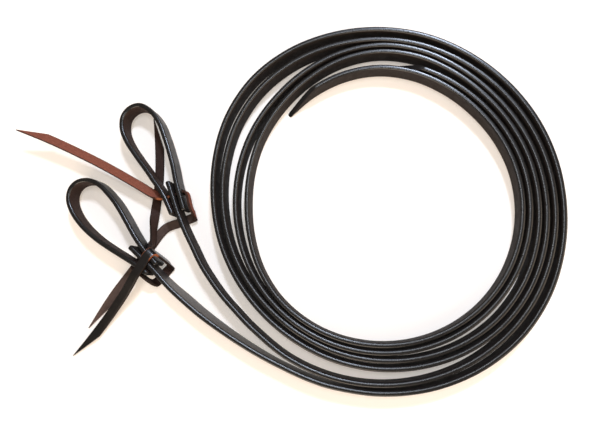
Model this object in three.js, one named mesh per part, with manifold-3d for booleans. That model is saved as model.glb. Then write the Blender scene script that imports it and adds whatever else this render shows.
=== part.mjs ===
// A pair of leather split reins, coiled side by side and standing on edge, in millimetres, +Z up.
//
// Each rein is one long flat strap. Its bit end lies between the two ends of a short strap that is bent
// into a water loop, and a lace passes through slots in the three layers, wraps under the rein and
// leaves two long tapered tails. Rein A is the inner one of the pair and rein B the outer one.

import * as THREE from 'three';
import { mergeVertices } from 'three/addons/utils/BufferGeometryUtils.js';
import Module from 'manifold-3d';

const wasm = await Module();
wasm.setup();

// ---- Driving dimensions -------------------------------------------------------------------------

const STRAP_WIDTH = 16;
const STRAP_THICK = 4;
const STRAP_BEVEL = 0.7;
const LACE_WIDTH = 7.5;
const LACE_THICK = 2;
const LACE_BEVEL = 0.3;

const SLOT_HEIGHT = LACE_WIDTH + 0.6;
const SLOT_LENGTH = 3.8;
const SLOT_REACH = 30;
const END_CUT_LENGTH = 30;
const TAPER_LENGTH = 28;
const SPLIT_GAP = 0.4;

// The wedge that cuts an end on a slant passes its edges by the spare, and is that many thicknesses deep.
const SLANT_SPARE = 1.5;
const SLANT_DEPTH = 3.6;

// The laces lie on the floor under the tied ends, which are that much higher than the coil.
const KNOT_LIFT = LACE_THICK + 0.6;
const LACE_FLOOR = LACE_THICK / 2 + 0.1;
const SLOT_Z = KNOT_LIFT + STRAP_WIDTH / 2;
const CREST_Z = KNOT_LIFT + STRAP_WIDTH + LACE_THICK / 2 + 0.4;

const COIL_CENTRE = [84, 1];
const COIL_STEP = 15;
const KEY_STEP = 45;

const REIN_STEPS = 124;
const LOOP_STEPS = 44;
const KNOT_STEP_LENGTH = 2.2;
const TAIL_STEP_LENGTH = 5.6;

const UP = new THREE.Vector3(0, 0, 1);

// ---- Tied ends: where each slot is, and the plan angle from it towards the loop -------------------

const KNOT_A = { slot: [-81.3, 8.5], angle: 110.5 };
const KNOT_B = { slot: [-106.2, -41.5], angle: 137.8 };

/** Unit vectors of a tied end: along it towards the loop, and across it to the right of that. */
function knotAxes(knot) {
  const angle = THREE.MathUtils.degToRad(knot.angle);
  const along = new THREE.Vector3(Math.cos(angle), Math.sin(angle), 0);
  const across = new THREE.Vector3(Math.sin(angle), -Math.cos(angle), 0);
  return { along, across };
}

/** The point that lies `along` and `across` from the knot's slot, at height z. */
function atKnot(knot, along, across, z) {
  const axes = knotAxes(knot);
  return new THREE.Vector3(knot.slot[0], knot.slot[1], z)
    .addScaledVector(axes.along, along)
    .addScaledVector(axes.across, across);
}

// ---- Routes ---------------------------------------------------------------------------------------

/** A smooth open route whose section keeps the width direction that widthAt gives. */
class FlatRoute extends THREE.CatmullRomCurve3 {
  constructor(points) {
    super(points, false, 'centripetal');
    this.arcLengthDivisions = 60 * points.length;
  }

  computeFrenetFrames(segments) {
    const frames = Array.from({ length: segments + 1 }, (_, i) => this.frameAt(i / segments));
    return {
      tangents: frames.map((frame) => frame.tangent),
      normals: frames.map((frame) => frame.normal),
      binormals: frames.map((frame) => frame.width),
    };
  }

  /** The directions of the route, of its width and of its thickness at part u of its length. */
  frameAt(u) {
    const tangent = this.getTangentAt(u);
    const width = this.widthAt(this.getUtoTmapping(u), tangent);
    const normal = new THREE.Vector3().crossVectors(width, tangent);
    return { tangent, width, normal };
  }

  /** The two stations that route parameter t lies between, and how far it is from the first. */
  between(t) {
    const place = t * (this.points.length - 1);
    const first = Math.min(Math.floor(place), this.points.length - 2);
    return { first, part: place - first };
  }
}

/** A strap on edge. A station is [x, y, lift, lean]: lean tips its top edge to the right, in degrees. */
class StrapRoute extends FlatRoute {
  constructor(stations) {
    super(stations.map(([x, y, lift = 0]) => new THREE.Vector3(x, y, lift + STRAP_WIDTH / 2)));
    this.leans = stations.map(([, , , lean = 0]) => lean);
  }

  widthAt(t, tangent) {
    const { first, part } = this.between(t);
    const lean = THREE.MathUtils.lerp(this.leans[first], this.leans[first + 1], part);
    const upright = UP.clone().addScaledVector(tangent, -tangent.z).normalize();
    return upright.applyAxisAngle(tangent, THREE.MathUtils.degToRad(lean));
  }
}

/** A lace. Each station is { at, face }, and face is the way that its flesh side looks there. */
class LaceRoute extends FlatRoute {
  constructor(stations) {
    super(stations.map((station) => station.at));
    this.faces = stations.map((station) => station.face);
  }

  widthAt(t, tangent) {
    const { first, part } = this.between(t);
    const face = this.faces[first].clone().lerp(this.faces[first + 1], part);
    return new THREE.Vector3().crossVectors(tangent, face).normalize();
  }
}

// ---- Solids ---------------------------------------------------------------------------------------

/** A flat rectangular section with its four corners bevelled: thickness along x, width along y. */
function flatSection(width, thick, bevel) {
  const x = thick / 2;
  const y = width / 2;
  const corners = [
    [x, y - bevel], [x - bevel, y], [bevel - x, y], [-x, y - bevel],
    [-x, bevel - y], [bevel - x, -y], [x - bevel, -y], [x, bevel - y],
  ];
  return new THREE.Shape(corners.map(([cx, cy]) => new THREE.Vector2(cx, cy)));
}

const STRAP_SECTION = flatSection(STRAP_WIDTH, STRAP_THICK, STRAP_BEVEL);
const LACE_SECTION = flatSection(LACE_WIDTH, LACE_THICK, LACE_BEVEL);

function sweep(section, route, steps) {
  return new THREE.ExtrudeGeometry(section, { steps, extrudePath: route });
}

function toSolid(geometry) {
  const plain = geometry.clone();
  plain.deleteAttribute('normal');
  plain.deleteAttribute('uv');
  const merged = mergeVertices(plain, 1e-5);
  return new wasm.Manifold(new wasm.Mesh({
    numProp: 3,
    vertProperties: new Float32Array(merged.attributes.position.array),
    triVerts: new Uint32Array(merged.index.array),
  }));
}

function toGeometry(solid) {
  const mesh = solid.getMesh();
  const geometry = new THREE.BufferGeometry();
  geometry.setAttribute('position', new THREE.BufferAttribute(new Float32Array(mesh.vertProperties), 3));
  geometry.setIndex(new THREE.BufferAttribute(new Uint32Array(mesh.triVerts), 1));
  geometry.computeVertexNormals();
  return geometry;
}

/** The geometry left when every cutter is taken away from the first one. */
function cut(geometry, cutters) {
  return toGeometry(cutters.reduce((solid, cutter) => solid.subtract(toSolid(cutter)), toSolid(geometry)));
}

/** The upright slot that the lace passes through, right across a tied end. */
function slotCutter(knot) {
  const { across } = knotAxes(knot);
  const slot = new THREE.BoxGeometry(SLOT_REACH, SLOT_LENGTH, SLOT_HEIGHT);
  slot.rotateZ(Math.atan2(across.y, across.x));
  return slot.translate(knot.slot[0], knot.slot[1], SLOT_Z);
}

/** A wedge that cuts the end of a route on a slant, from edge `side` (+1 or -1) to the other edge. */
function slantCutter(route, width, thick, length, side) {
  const over = length * SLANT_SPARE / width;
  const edge = width / 2 + SLANT_SPARE;
  const wedge = new THREE.Shape([
    new THREE.Vector2(-length - over, side * edge),
    new THREE.Vector2(over, -side * edge),
    new THREE.Vector2(over + SLANT_SPARE, side * edge),
  ]);
  const depth = thick * SLANT_DEPTH;
  const prism = new THREE.ExtrudeGeometry(wedge, { depth, bevelEnabled: false });
  prism.translate(0, 0, -depth / 2);
  const end = route.frameAt(1);
  const basis = new THREE.Matrix4().makeBasis(end.tangent, end.width, end.normal.negate());
  return prism.applyMatrix4(basis.setPosition(route.getPointAt(1)));
}

// ---- Reins ----------------------------------------------------------------------------------------

// Radius of the coil at each eighth of a turn, from its start. Rein B lies outside rein A.
const COIL_A = {
  start: 225,
  end: 1214,
  radii: [
    138, 137, 134.5, 129.5, 128.5, 133, 134.5, 123.5,
    118, 119.5, 122, 118, 117, 122.5, 111.5, 103.5,
    107.5, 108.5, 108.5, 106.5, 105, 109, 104.6,
  ],
};
const COIL_B = {
  start: 270,
  end: 1166,
  radii: [
    143, 142, 135.5, 135.5, 141.5, 145, 131, 124,
    125.5, 128, 123.5, 122, 128, 119, 113, 113,
    114, 114, 112, 110.5, 114,
  ],
};

// From the tied end to the coil: x, y, lift off the floor, lean.
const LEAD_A = [
  [-85.4, 19.5, KNOT_LIFT],
  [-81.3, 8.5, KNOT_LIFT],
  [-75.8, -6.5, KNOT_LIFT],
  [-70.6, -18.2, KNOT_LIFT],
  [-62, -35, 1.8],
  [-55, -48.5, 1],
  [-46.5, -61, 0.4],
  [-37, -73, 0.1],
  [-26, -84.5],
];
const LEAD_B = [
  [-114.9, -33.7, KNOT_LIFT],
  [-106.2, -41.5, KNOT_LIFT],
  [-93.4, -53.2, KNOT_LIFT],
  [-86.3, -60, KNOT_LIFT, 3],
  [-79.3, -66.6, 2.1, 6],
  [-70.8, -73.6, 1.5, 9],
  [-54.5, -86.6, 0.8, 9],
  [-37.7, -98.2, 0.4, 7],
  [-21.7, -108.2, 0.2, 4],
  [-5.9, -117, 0.1, 2],
  [9.8, -124.6],
  [28.5, -132.4],
  [47.5, -138],
];

/** Value at t of the smooth curve through a and b, with the values before and after them. */
function smoothBetween(before, a, b, after, t) {
  const bend = (2 * before - 5 * a + 4 * b - after) * t * t;
  const twist = (3 * a - before - 3 * b + after) * t * t * t;
  return a + ((b - before) * t + bend + twist) / 2;
}

function coilRadius({ start, radii }, angle) {
  const place = (angle - start) / KEY_STEP;
  const last = radii.length - 1;
  const i = Math.min(Math.floor(place), last - 1);
  return smoothBetween(
    radii[Math.max(i - 1, 0)], radii[i], radii[i + 1], radii[Math.min(i + 2, last)], place - i,
  );
}

function coilStations(coil) {
  const count = Math.round((coil.end - coil.start) / COIL_STEP);
  return Array.from({ length: count + 1 }, (_, i) => {
    const degrees = THREE.MathUtils.lerp(coil.start, coil.end, i / count);
    const radius = coilRadius(coil, degrees);
    const angle = THREE.MathUtils.degToRad(degrees);
    return [COIL_CENTRE[0] + radius * Math.cos(angle), COIL_CENTRE[1] + radius * Math.sin(angle)];
  });
}

/** A rein: a straight lead from its tied end, then the coil, then a free end cut on a slant. */
function reinStrap(lead, coil, knot) {
  const route = new StrapRoute([...lead, ...coilStations(coil)]);
  const strap = sweep(STRAP_SECTION, route, REIN_STEPS);
  const slant = slantCutter(route, STRAP_WIDTH, STRAP_THICK, END_CUT_LENGTH, 1);
  return cut(strap, [slotCutter(knot), slant]);
}

// ---- Water loops ----------------------------------------------------------------------------------

// Each runs from the end of its left leg round the loop to the end of its right leg.
const LOOP_A = [
  [-80.3, -8.2], [-83.8, -1], [-87.5, 6.2], [-91.9, 13.1], [-97.2, 20], [-103.2, 28.2],
  [-114, 42], [-122.8, 54.6], [-127.3, 65.4], [-126.8, 76.2], [-121, 83], [-113, 85],
  [-104.3, 80.8], [-96, 71], [-90.2, 58], [-85.5, 45.2], [-81.5, 32.5],
  [-78.5, 20], [-75.6, 10.6], [-73.1, 3], [-70.6, -4.6],
];
const LOOP_B = [
  [-98.6, -55.8], [-104.5, -51.5], [-111.2, -47.1], [-121.5, -41.2], [-132.6, -34.8],
  [-145.9, -26.2], [-158, -15.8], [-166.8, -4.6], [-170.8, 5.8], [-169.6, 14.4],
  [-164.6, 19.8], [-157.4, 21.6], [-149.8, 20.4], [-143.2, 16.6], [-137.4, 11.2],
  [-131, 4.2], [-124.9, -4.1], [-118.4, -14.2], [-111.8, -24.6], [-107.2, -31],
  [-102.3, -37.1], [-96.7, -42.9], [-91.4, -48.2],
];

/** A water loop: a short strap bent back on itself, slotted through both ends. */
function waterLoop(outline, knot) {
  const route = new StrapRoute(outline.map(([x, y]) => [x, y, KNOT_LIFT]));
  return cut(sweep(STRAP_SECTION, route, LOOP_STEPS), [slotCutter(knot)]);
}

// ---- Tie laces ------------------------------------------------------------------------------------

const DOWN = new THREE.Vector3(0, 0, -1);
const AXES_A = knotAxes(KNOT_A);
const AXES_B = knotAxes(KNOT_B);

const flesh = (x, y, z) => new THREE.Vector3(x, y, z).normalize();
const onFloor = (face) => ([x, y, z = LACE_FLOOR]) => ({ at: new THREE.Vector3(x, y, z), face });
const tied = (knot, face) => ([along, across, z]) => ({ at: atKnot(knot, along, across, z), face });

// Lace A: in from its raised tail, through the slots, back along the right leg, under the rein and out
// along the floor to the second tail.
const LACE_A_KNOT = [
  { at: new THREE.Vector3(-105.4, 13.4, 11), face: flesh(0.17, 0.33, 0.93) },
  { at: new THREE.Vector3(-99.8, 10.2, 10.9), face: flesh(0, 0.5, 0.86) },
  { at: new THREE.Vector3(-94.6, 7.3, 10.7), face: flesh(-0.2, 0.9, 0.4) },
  ...[[0.4, -9.6, SLOT_Z], [0, -6, SLOT_Z], [0, 0, SLOT_Z], [0, 6, SLOT_Z], [0, 8.5, SLOT_Z]]
    .map(tied(KNOT_A, AXES_A.along)),
  tied(KNOT_A, AXES_A.along.clone().add(AXES_A.across))([-0.7, 10.1, SLOT_Z]),
  ...[[-2.6, 10.7, SLOT_Z], [-6.5, 10.5, SLOT_Z], [-11, 10, 10.4], [-15.2, 9.7, 9.6],
    [-18.6, 9.6, 7.4], [-20.4, 9.3, 4.4]].map(tied(KNOT_A, AXES_A.across)),
  tied(KNOT_A, AXES_A.across.clone().add(DOWN))([-20.7, 8.3, 2]),
  ...[[-20.7, 5.8, LACE_FLOOR], [-20.7, 0, LACE_FLOOR], [-20.7, -6, LACE_FLOOR]].map(tied(KNOT_A, DOWN)),
  ...[[-85.8, -14.9], [-91.4, -17.4], [-96.2, -22.2], [-101.2, -29.2], [-110.3, -41.8],
    [-122.4, -57.8], [-132.6, -71.6], [-141, -84.6], [-151.4, -102.4]].map(onFloor(DOWN)),
];

const TAIL_A_FLESH = flesh(0.17, 0.33, 0.93);
const LACE_A_TAIL = [
  [-105.4, 13.4, 11], [-111.4, 17, 11.3], [-129, 26.9, 12.4], [-146.9, 36.5, 13.6],
  [-164.9, 45.3, 14.8], [-192.3, 57.8, 16.4], [-221, 69.4, 18],
].map(onFloor(TAIL_A_FLESH));

// Lace B: from its floor tail up through the slots, back along the left leg, under the rein, up the
// right side and over the top of the tied end to the second tail.
const LACE_B_KNOT = [
  ...[[-101.7, -47, CREST_Z], [-98.6, -41.6, CREST_Z]].map(onFloor(DOWN)),
  tied(KNOT_B, DOWN)([-5.7, 7.2, CREST_Z - 0.1]),
  tied(KNOT_B, DOWN.clone().sub(AXES_B.across))([-5.6, 9.4, 18.9]),
  ...[[-6.6, 10.2, 16.2], [-10, 10.1, 12], [-14.4, 10, 8.6], [-18.6, 9.8, 6], [-20.5, 9.3, 3.8]]
    .map(tied(KNOT_B, AXES_B.across.clone().negate())),
  tied(KNOT_B, UP.clone().sub(AXES_B.across))([-20.7, 8.2, 1.9]),
  ...[[-20.7, 5.8, LACE_FLOOR], [-20.7, 0, LACE_FLOOR], [-20.7, -6.4, LACE_FLOOR]].map(tied(KNOT_B, UP)),
  tied(KNOT_B, UP.clone().add(AXES_B.across))([-20.7, -9.2, 2]),
  ...[[-20.4, -10.2, 4.4], [-18.6, -10.6, 7.4], [-15.2, -10.8, 9.6], [-11, -11, 10.4],
    [-6.5, -11.6, SLOT_Z], [-2.6, -12, SLOT_Z]].map(tied(KNOT_B, AXES_B.across)),
  tied(KNOT_B, AXES_B.across.clone().sub(AXES_B.along))([-0.7, -11.5, SLOT_Z]),
  ...[[0, -9.9, SLOT_Z], [0, -5, SLOT_Z], [0, 0, SLOT_Z], [0, 5, SLOT_Z], [0.2, 9, SLOT_Z]]
    .map(tied(KNOT_B, AXES_B.along.clone().negate())),
  { at: new THREE.Vector3(-99.7, -32.2, 9), face: flesh(0.95, -0.3, 0) },
  { at: new THREE.Vector3(-99.4, -26, 7.4), face: flesh(1, 0, 0.1) },
  { at: new THREE.Vector3(-100, -19, 6.4), face: flesh(1, 0, 0.2) },
  { at: new THREE.Vector3(-100.6, -11.6, 4.6), face: flesh(0.8, 0, 0.6) },
  { at: new THREE.Vector3(-100.8, -4, 2.4), face: flesh(0.3, 0, 0.95) },
  ...[[-100.4, 5], [-99.4, 18], [-99.2, 32], [-100.2, 50.4], [-101.8, 67], [-103.2, 79]].map(onFloor(UP)),
];

const LACE_B_TAIL = [
  [-101.7, -47, CREST_Z], [-104.2, -50.9, CREST_Z], [-107.6, -55.8, 19.5], [-113.4, -63.9, 16.2],
  [-120.8, -73, 11.4], [-131.5, -85.9, 6.6], [-140.2, -96.7, 4.1], [-147.6, -106.2, 3.5],
  [-155.4, -115.6, 2.2], [-164, -125.7, 1.2],
].map(onFloor(DOWN));

/** Cuts a lace back by SPLIT_GAP at its first station, where it meets its other node. */
function withSplitGap(stations) {
  const [first, second] = stations;
  const back = second.at.clone().sub(first.at).setLength(SPLIT_GAP / 2);
  return [{ at: first.at.clone().add(back), face: first.face }, ...stations.slice(1)];
}

/** A stretch of lace, from where it meets its other node to a tip that is cut on a long slant. */
function lace(stations, stepLength) {
  const route = new LaceRoute(withSplitGap(stations));
  const steps = Math.round(route.getLength() / stepLength);
  const slant = slantCutter(route, LACE_WIDTH, LACE_THICK, TAPER_LENGTH, 1);
  return cut(sweep(LACE_SECTION, route, steps), [slant]);
}

// ---- Assembly -------------------------------------------------------------------------------------

const finish = (color, roughness) => new THREE.MeshStandardMaterial({ color, roughness, metalness: 0 });

const reins = new THREE.Group();

function add(name, geometry, material) {
  const mesh = new THREE.Mesh(geometry, material);
  mesh.name = name;
  reins.add(mesh);
}

add('rein_strap_a', reinStrap(LEAD_A, COIL_A, KNOT_A), finish(0x17161a, 0.45));
add('rein_strap_b', reinStrap(LEAD_B, COIL_B, KNOT_B), finish(0x1b1a1d, 0.45));
add('water_loop_a', waterLoop(LOOP_A, KNOT_A), finish(0x1a1918, 0.45));
add('water_loop_b', waterLoop(LOOP_B, KNOT_B), finish(0x1e1b1a, 0.45));
add('tie_lace_a', lace(LACE_A_KNOT, KNOT_STEP_LENGTH), finish(0x49362f, 0.6));
add('tie_lace_a_tail', lace(LACE_A_TAIL, TAIL_STEP_LENGTH), finish(0x8a4c37, 0.7));
add('tie_lace_b', lace(LACE_B_KNOT, KNOT_STEP_LENGTH), finish(0x3f3230, 0.55));
add('tie_lace_b_tail', lace(LACE_B_TAIL, TAIL_STEP_LENGTH), finish(0x121113, 0.4));

export default reins;
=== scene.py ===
"""A pair of black leather split reins, coiled together on edge: the looks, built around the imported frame.

Lengths are metres and the axes are the frame's, +Z up. Every strap and lace is first cut flat, as on a
saddler's bench, with x along it, y across it and z through it. It is punched, trimmed and edged there, and
is then laid along its route, so that grain, edges and wear follow the leather round every bend.
"""

import logging
import math
from bisect import bisect_right
from dataclasses import dataclass, replace
from enum import Enum

import bmesh
import bpy
from mathutils import Matrix, Vector, noise


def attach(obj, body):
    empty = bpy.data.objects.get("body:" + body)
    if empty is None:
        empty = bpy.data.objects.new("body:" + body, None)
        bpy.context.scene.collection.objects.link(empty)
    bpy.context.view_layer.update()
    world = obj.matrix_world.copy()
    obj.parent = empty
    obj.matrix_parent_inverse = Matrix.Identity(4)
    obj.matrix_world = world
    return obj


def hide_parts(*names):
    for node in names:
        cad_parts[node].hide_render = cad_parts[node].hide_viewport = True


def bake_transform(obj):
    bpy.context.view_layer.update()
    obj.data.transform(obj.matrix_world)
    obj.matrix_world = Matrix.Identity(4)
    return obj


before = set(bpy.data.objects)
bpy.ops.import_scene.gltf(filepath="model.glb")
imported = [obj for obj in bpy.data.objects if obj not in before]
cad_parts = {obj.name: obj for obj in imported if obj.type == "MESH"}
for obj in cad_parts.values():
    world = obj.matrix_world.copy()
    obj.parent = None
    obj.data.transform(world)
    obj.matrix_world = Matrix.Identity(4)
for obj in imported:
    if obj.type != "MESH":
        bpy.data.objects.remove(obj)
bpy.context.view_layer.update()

log = logging.getLogger("split_reins")

# ---- Driving sizes --------------------------------------------------------------------------------

MM = 0.001
STRAP_WIDTH = 16 * MM
STRAP_THICK = 4 * MM
LACE_WIDTH = 7.5 * MM
LACE_THICK = 2 * MM

# A slot is a little larger than the lace in it, so that a water loop can rock on the lace. The lace and
# the other straps hide the slots.
SLOT_HEIGHT = LACE_WIDTH + 1.4 * MM
SLOT_LENGTH = 4.6 * MM

# How far back from its tip a rein's free end and a lace's end are cut on the slant.
END_CUT = 30 * MM
TAPER = 28 * MM
# A lace is too narrow near its tip to measure, so the line along its middle stops this far short of it.
TIP_SPARE = 2.5 * MM

# The tied ends stand on the laces that pass under them.
KNOT_LIFT = LACE_THICK + 0.6 * MM
LACE_FLOOR = LACE_THICK / 2 + 0.1 * MM
SLOT_Z = KNOT_LIFT + STRAP_WIDTH / 2
CREST_Z = KNOT_LIFT + STRAP_WIDTH + LACE_THICK / 2 + 0.4 * MM

# The coil's middle, and how many degrees lie between its stations and between its given radii.
COIL_CENTRE = (0.084, 0.001)
COIL_STEP = 15
KEY_STEP = 45

# How far apart the points of a line along a strap or a lace are.
STRAP_LINE_STEP = 4 * MM
LACE_LINE_STEP = 1.5 * MM

UP = Vector((0, 0, 1))
DOWN = Vector((0, 0, -1))

# The attribute that keeps where each point of the leather lay on the bench.
LAY = "lay"

# Points closer than this along a strip share one place on its route.
SAME_PLACE = 0.05 * MM
# Two cuts closer than this are one.
CUT_MERGE = 1e-7
# A fold sharper than this shades as an edge.
SHARP_FOLD = math.radians(38)
# A face whose normal is this upright is on one side of a flat strip, and not on its edge.
UPRIGHT = 0.9
# A punch works on the leather within this many slots' lengths.
PUNCH_REACH = 3

# A hand-cut edge wanders in long and short waves, and a hide's thickness swells along and across it.
# Each is the number of waves in a metre.
LONG_WANDER = 24
SHORT_WANDER = 70
SWELL_ALONG = 35
SWELL_ACROSS = 90
# Where in the noise the two wanders and the swell are read, so that they differ.
LONG_SEED = 3.1
SHORT_SEED = 7.7
SWELL_SEED = 11.3
WIDTH_SEED = 900


# ---- Routes ---------------------------------------------------------------------------------------


@dataclass(frozen=True)
class Station:
    """A point that the middle of a strap passes through, and how the leather is turned there.

    A strap on edge has a lean, the degrees that its top tips to the right. A lace has a face, the way
    that its flesh side looks.
    """

    at: Vector
    lean: float = 0.0
    face: Vector = UP


@dataclass(frozen=True)
class Place:
    """The middle of a strap at one length along its route, and the three directions of its section."""

    centre: Vector
    along: Vector
    width: Vector
    normal: Vector


class Route:
    """A smooth open line through stations, which a strap or a lace lies along."""

    DIVISIONS = 60

    def __init__(self, stations: list[Station]) -> None:
        """Fits the curve and measures it.

        Args:
            stations: The stations in order, at least two.
        """
        self.stations = stations
        self.spans = [self._span(i) for i in range(len(stations) - 1)]
        self.marks = self._measure()

    @property
    def length(self) -> float:
        """The whole length of the route."""
        return self.marks[-1]

    def _span(self, i: int) -> tuple[Vector, Vector, Vector, Vector]:
        """Fits the cubic of a centripetal curve between two stations.

        Args:
            i: The station that the span starts from.

        Returns:
            The four coefficients, lowest power first.
        """
        points = [station.at for station in self.stations]
        a, b = points[i], points[i + 1]
        before = points[i - 1] if i > 0 else 2 * a - b
        after = points[i + 2] if i + 2 < len(points) else 2 * b - a
        first, middle, last = (math.sqrt((q - p).length) for p, q in ((before, a), (a, b), (b, after)))
        leave = ((a - before) / first - (b - before) / (first + middle) + (b - a) / middle) * middle
        arrive = ((b - a) / middle - (after - a) / (middle + last) + (after - b) / last) * middle
        return a, leave, 3 * (b - a) - 2 * leave - arrive, 2 * (a - b) + leave + arrive

    def _split(self, t: float) -> tuple[int, float]:
        """Finds the span that holds a parameter.

        Args:
            t: The parameter, 0 at the first station and one more at each station.

        Returns:
            The span's number and how far t is through it, from 0 to 1.
        """
        i = min(max(int(t), 0), len(self.spans) - 1)
        return i, t - i

    def _point(self, t: float) -> Vector:
        """Finds a point of the curve.

        Args:
            t: The parameter.

        Returns:
            The point.
        """
        i, u = self._split(t)
        c0, c1, c2, c3 = self.spans[i]
        return c0 + u * (c1 + u * (c2 + u * c3))

    def _heading(self, t: float) -> Vector:
        """Finds the curve's direction.

        Args:
            t: The parameter.

        Returns:
            The unit tangent.
        """
        i, u = self._split(t)
        _, c1, c2, c3 = self.spans[i]
        return (c1 + u * (2 * c2 + 3 * u * c3)).normalized()

    def _measure(self) -> list[float]:
        """Adds up the curve's length at each small division of each span.

        Returns:
            The running lengths, from 0.
        """
        marks = [0.0]
        last = self._point(0)
        for i in range(1, self.DIVISIONS * len(self.spans) + 1):
            point = self._point(i / self.DIVISIONS)
            marks.append(marks[-1] + (point - last).length)
            last = point
        return marks

    def _parameter(self, s: float) -> float:
        """Turns a length along the route into the parameter there.

        Args:
            s: The length from the start, which may be a little past either end.

        Returns:
            The parameter.
        """
        i = min(max(bisect_right(self.marks, s) - 1, 0), len(self.marks) - 2)
        return (i + (s - self.marks[i]) / (self.marks[i + 1] - self.marks[i])) / self.DIVISIONS

    def length_to(self, station: int) -> float:
        """The length along the route to a station."""
        return self.marks[station * self.DIVISIONS]

    def width_at(self, t: float, along: Vector) -> Vector:
        """The direction across the leather at parameter t, where the curve heads along."""
        raise NotImplementedError

    def place(self, s: float) -> Place:
        """Finds the section of the leather at one length along the route.

        Args:
            s: The length from the start.

        Returns:
            The place, with width across the leather and normal through it.
        """
        t = self._parameter(s)
        along = self._heading(t)
        width = self.width_at(t, along)
        return Place(self._point(t), along, width, width.cross(along))

    def line(self, start: float, end: float, step: float) -> list[Vector]:
        """Points down the middle of the route.

        Args:
            start: The length to begin at.
            end: The length to end at.
            step: About how far apart the points are.

        Returns:
            The points in order.
        """
        count = max(2, round((end - start) / step))
        return [self.place(start + (end - start) * i / count).centre for i in range(count + 1)]


class StrapRoute(Route):
    """The route of a strap that stands on its edge."""

    def width_at(self, t: float, along: Vector) -> Vector:
        """Finds the direction across the strap: upright, square to the route, and tipped by the lean.

        Args:
            t: The parameter.
            along: The unit tangent there.

        Returns:
            The unit direction across the strap.
        """
        i, u = self._split(t)
        lean = self.stations[i].lean * (1 - u) + self.stations[i + 1].lean * u
        upright = (UP - along * along.z).normalized()
        return Matrix.Rotation(math.radians(lean), 3, along) @ upright


class LaceRoute(Route):
    """The route of a lace, whose flesh side looks the way that its stations say."""

    def width_at(self, t: float, along: Vector) -> Vector:
        """Finds the direction across the lace, square to the way that its flesh side looks.

        Args:
            t: The parameter.
            along: The unit tangent there.

        Returns:
            The unit direction across the lace.
        """
        i, u = self._split(t)
        face = self.stations[i].face.lerp(self.stations[i + 1].face, u)
        return along.cross(face).normalized()


# ---- Flat leather on the bench ----------------------------------------------------------------------


class End(Enum):
    """The two ends of a blank."""

    START = 0
    FINISH = 1


@dataclass(frozen=True)
class Cut:
    """How a blank is cut: its section, its rounded edges, and how evenly it is made.

    The step is how far apart it is divided along its length, and ruled are the lines along it, by their
    distance from its middle. The waviness is how far its edges and its faces stray. The flesh side is 1
    where the flesh side looks along the route's normal, and -1 where the grain side does.
    """

    width: float
    thick: float
    edge_radius: float
    edge_segments: int
    step: float
    ruled: tuple[float, ...]
    waviness: float
    flesh_side: int = 1


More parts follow.
